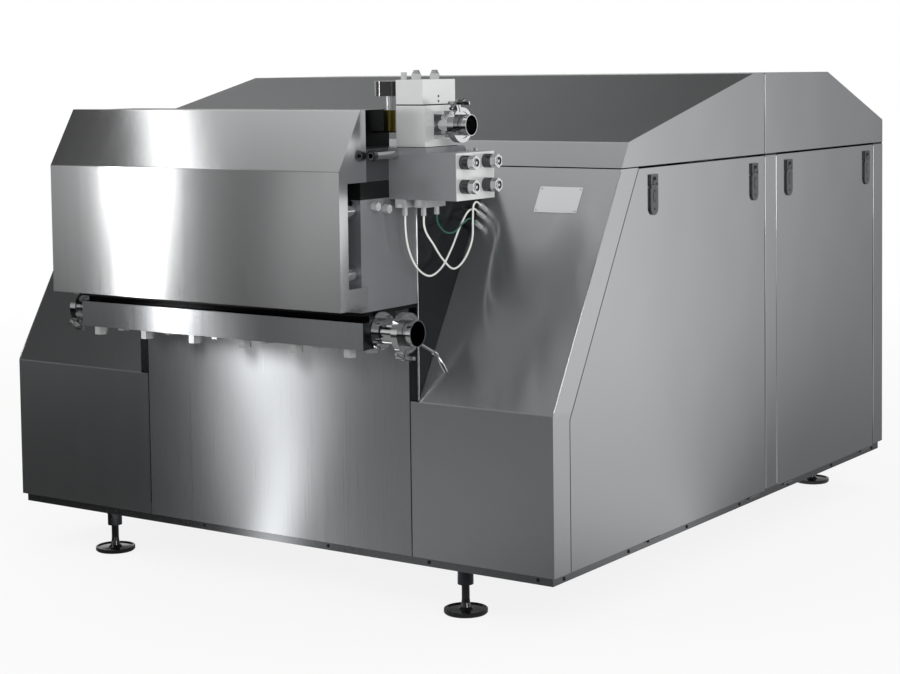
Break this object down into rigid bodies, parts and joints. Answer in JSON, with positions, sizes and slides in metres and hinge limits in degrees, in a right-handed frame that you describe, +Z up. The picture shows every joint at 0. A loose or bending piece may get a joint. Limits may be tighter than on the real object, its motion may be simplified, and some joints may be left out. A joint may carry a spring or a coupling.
{
  "type": "dairy homogenizer",
  "caption": "Stainless dairy homogenizer: bevelled cabinet with lift-off lids and side doors, plunger pump under a hinged hood, homogenising head at the side.",
  "frame": {"origin": "on the floor under the middle of the machine's bounding box", "axes": "+Z up, the front with the pump hood faces -Y, +X is the side with the homogenising head"},
  "size_m": [1.81, 2.297, 1.345],
  "materials": {
    "brushed_stainless": "satin brushed stainless sheet",
    "polished_stainless": "polished stainless blocks and pipe work",
    "dark_stainless": "dark brushed steel of the base and latches",
    "black_foot": "glossy black feet",
    "black_knob": "black knob",
    "brass": "brass regulator body",
    "white_tube": "white tube",
    "green_tube": "translucent green tube",
    "machine_iron": "cast iron",
    "blue_grey_paint": "blue-grey machine paint",
    "belt_rubber": "rubber belt",
    "hard_alloy": "wear-resistant alloy"
  },
  "bodies": {
    "machine": {"base_frame": "dark_stainless", "frame_posts": "brushed_stainless", "nose_cover": "brushed_stainless", "front_panel": "brushed_stainless", "left_front_panel": "brushed_stainless", "right_front_panel": "brushed_stainless", "rear_panel": "brushed_stainless", "top_cover": "dark_stainless", "pump_block": "polished_stainless", "spacer_studs": "polished_stainless", "front_caps": "polished_stainless", "plunger_seals": "belt_rubber", "suction_manifold": "polished_stainless", "manifold_bolts": "polished_stainless", "suction_port": "polished_stainless", "blind_port": "polished_stainless", "pipe_clamps": "polished_stainless", "valve_body": "polished_stainless", "end_cover": "polished_stainless", "head_nuts": "polished_stainless", "valve_seat": "hard_alloy", "outlet_block": "polished_stainless", "outlet_cap": "polished_stainless", "discharge_port": "polished_stainless", "regulator": "brass", "gauge_stub": "polished_stainless", "head_fittings": "polished_stainless", "slope_fittings": "polished_stainless", "hose_front": "white_tube", "hose_middle": "white_tube", "hose_green": "green_tube", "crankcase": "blue_grey_paint", "motor": "blue_grey_paint", "drive_belt": "belt_rubber"},
    "foot_front_left": {"foot_front_left": "black_foot"},
    "foot_front_right": {"foot_front_right": "black_foot"},
    "foot_rear_left": {"foot_rear_left": "black_foot"},
    "foot_rear_right": {"foot_rear_right": "black_foot"},
    "front_lid": {"front_lid": "brushed_stainless"},
    "rear_lid": {"rear_lid": "brushed_stainless"},
    "door_left_front": {"door_left_front": "brushed_stainless"},
    "door_left_rear": {"door_left_rear": "brushed_stainless"},
    "door_right_front": {"door_right_front": "brushed_stainless"},
    "door_right_rear": {"door_right_rear": "brushed_stainless"},
    "latch_left_front": {"latch_left_front": "dark_stainless"},
    "latch_left_rear": {"latch_left_rear": "dark_stainless"},
    "latch_right_front": {"latch_right_front": "dark_stainless"},
    "latch_right_rear": {"latch_right_rear": "dark_stainless"},
    "hood": {"hood": "polished_stainless"},
    "suction_valves": {"suction_valves": "polished_stainless"},
    "discharge_valves": {"discharge_valves": "polished_stainless"},
    "plunger_1": {"plunger_1": "polished_stainless"},
    "plunger_2": {"plunger_2": "polished_stainless"},
    "plunger_3": {"plunger_3": "polished_stainless"},
    "plunger_4": {"plunger_4": "polished_stainless"},
    "plunger_5": {"plunger_5": "polished_stainless"},
    "valve_plug": {"valve_plug": "hard_alloy"},
    "regulator_knob": {"regulator_knob": "black_knob"},
    "motor_pulley": {"motor_pulley": "machine_iron"},
    "driven_pulley": {"driven_pulley": "machine_iron"}
  },
  "joints": [
    {"name": "foot_front_left_screw", "type": "slide", "parent": "machine", "child": "foot_front_left", "axis": [0, 0, -1], "range_m": [0, 0.03]},
    {"name": "foot_front_right_screw", "type": "slide", "parent": "machine", "child": "foot_front_right", "axis": [0, 0, -1], "range_m": [0, 0.03]},
    {"name": "foot_rear_left_screw", "type": "slide", "parent": "machine", "child": "foot_rear_left", "axis": [0, 0, -1], "range_m": [0, 0.03]},
    {"name": "foot_rear_right_screw", "type": "slide", "parent": "machine", "child": "foot_rear_right", "axis": [0, 0, -1], "range_m": [0, 0.03]},
    {"name": "front_lid_lift", "type": "slide", "parent": "machine", "child": "front_lid", "axis": [0, 0, 1], "range_m": [0, 0.4]},
    {"name": "rear_lid_lift", "type": "slide", "parent": "machine", "child": "rear_lid", "axis": [0, 0, 1], "range_m": [0, 0.4]},
    {"name": "door_left_front_tilt", "type": "hinge", "parent": "machine", "child": "door_left_front", "pos_m": [-0.895, 0.1625, 0.13525], "axis": [0, -1, 0], "range_deg": [0, 25]},
    {"name": "door_left_rear_tilt", "type": "hinge", "parent": "machine", "child": "door_left_rear", "pos_m": [-0.895, 0.1625, 0.13525], "axis": [0, -1, 0], "range_deg": [0, 25]},
    {"name": "door_right_front_tilt", "type": "hinge", "parent": "machine", "child": "door_right_front", "pos_m": [0.895, 0.1625, 0.13525], "axis": [0, 1, 0], "range_deg": [0, 25]},
    {"name": "door_right_rear_tilt", "type": "hinge", "parent": "machine", "child": "door_right_rear", "pos_m": [0.895, 0.1625, 0.13525], "axis": [0, 1, 0], "range_deg": [0, 25]},
    {"name": "latch_left_front_swing", "type": "hinge", "parent": "door_left_front", "child": "latch_left_front", "pos_m": [-0.9025, 0.1625, 1.046], "axis": [0, 1, 0], "range_deg": [0, 80]},
    {"name": "latch_left_rear_swing", "type": "hinge", "parent": "door_left_rear", "child": "latch_left_rear", "pos_m": [-0.9025, 0.1625, 1.046], "axis": [0, 1, 0], "range_deg": [0, 80]},
    {"name": "latch_right_front_swing", "type": "hinge", "parent": "door_right_front", "child": "latch_right_front", "pos_m": [0.9025, 0.1625, 1.046], "axis": [0, -1, 0], "range_deg": [0, 80]},
    {"name": "latch_right_rear_swing", "type": "hinge", "parent": "door_right_rear", "child": "latch_right_rear", "pos_m": [0.9025, 0.1625, 1.046], "axis": [0, -1, 0], "range_deg": [0, 80]},
    {"name": "hood_hinge", "type": "hinge", "parent": "machine", "child": "hood", "pos_m": [0.046, -1.0495, 1.243], "axis": [-1, 0, 0], "range_deg": [0, 75]},
    {"name": "suction_valves_lift", "type": "slide", "parent": "machine", "child": "suction_valves", "axis": [0, 0, 1], "range_m": [0, 0.006]},
    {"name": "discharge_valves_lift", "type": "slide", "parent": "machine", "child": "discharge_valves", "axis": [0, 0, 1], "range_m": [0, 0.006]},
    {"name": "plunger_1_stroke", "type": "slide", "parent": "machine", "child": "plunger_1", "axis": [0, 1, 0], "range_m": [-0.035, 0.035]},
    {"name": "plunger_2_stroke", "type": "slide", "parent": "machine", "child": "plunger_2", "axis": [0, 1, 0], "range_m": [-0.035, 0.035]},
    {"name": "plunger_3_stroke", "type": "slide", "parent": "machine", "child": "plunger_3", "axis": [0, 1, 0], "range_m": [-0.035, 0.035]},
    {"name": "plunger_4_stroke", "type": "slide", "parent": "machine", "child": "plunger_4", "axis": [0, 1, 0], "range_m": [-0.035, 0.035]},
    {"name": "plunger_5_stroke", "type": "slide", "parent": "machine", "child": "plunger_5", "axis": [0, 1, 0], "range_m": [-0.035, 0.035]},
    {"name": "valve_plug_gap", "type": "slide", "parent": "machine", "child": "valve_plug", "axis": [1, 0, 0], "range_m": [0, 0.003]},
    {"name": "regulator_knob_turn", "type": "hinge", "parent": "machine", "child": "regulator_knob", "pos_m": [0.477, -0.8925, 1.3], "axis": [0, 0, 1], "range_deg": [-540, 540]},
    {"name": "motor_spin", "type": "hinge", "parent": "machine", "child": "motor_pulley", "pos_m": [0.5, 0.6125, 0.4], "axis": [1, 0, 0], "continuous": true},
    {"name": "crank_spin", "type": "hinge", "parent": "machine", "child": "driven_pulley", "pos_m": [0.5, -0.2775, 0.905], "axis": [1, 0, 0], "continuous": true}
  ],
  "couplings": [
    {"joint": "crank_spin", "follows": "motor_spin", "ratio": 0.4919}
  ]
}
